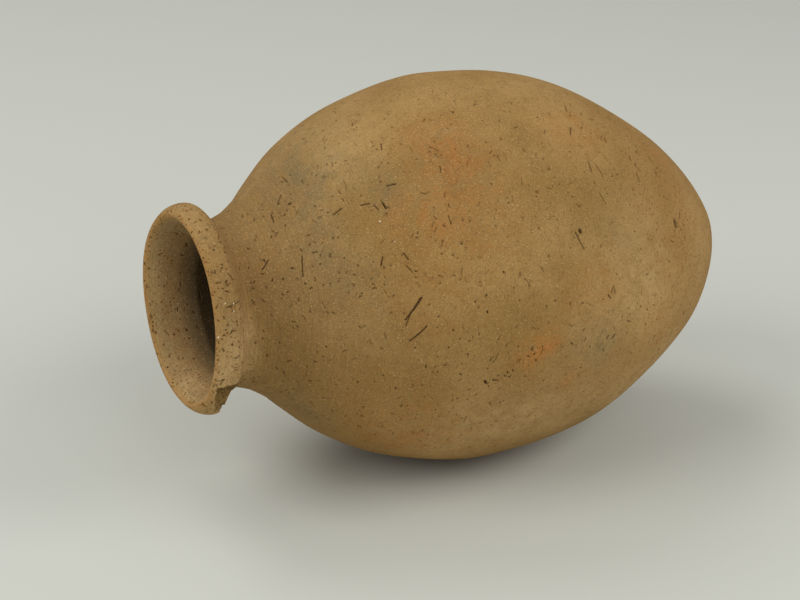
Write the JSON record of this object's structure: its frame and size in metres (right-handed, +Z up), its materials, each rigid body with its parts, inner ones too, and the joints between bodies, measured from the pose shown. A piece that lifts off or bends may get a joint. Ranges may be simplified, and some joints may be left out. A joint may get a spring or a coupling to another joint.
{
  "type": "ovoid jar",
  "caption": "Hand-built ovoid earthenware jar with a blunt pointed base, short neck and chipped out-turned rim, lying on its side.",
  "frame": {"origin": "on the ground under the middle of the jar's box, as it lies on its side", "axes": "+Z up from the ground; +X along the jar's length towards the pointed base, so the mouth faces -X; the axis rises 2.5 degrees towards the mouth"},
  "size_m": [0.3108, 0.2024, 0.2021],
  "materials": {
    "base_clay": "unglazed, smoothed, open straw voids",
    "lower_wall_clay": "unglazed, smoothed, open straw voids",
    "belly_clay": "unglazed, smoothed, open straw voids",
    "shoulder_clay": "unglazed, wiped smooth, open straw voids",
    "neck_clay": "unglazed, wiped in rings while turning",
    "rim_clay": "unglazed, wiped in rings while turning, one broken edge"
  },
  "bodies": {
    "root": {"base": "base_clay", "lower_wall": "lower_wall_clay", "belly": "belly_clay", "shoulder": "shoulder_clay", "neck": "neck_clay", "rim": "rim_clay"}
  },
  "joints": []
}
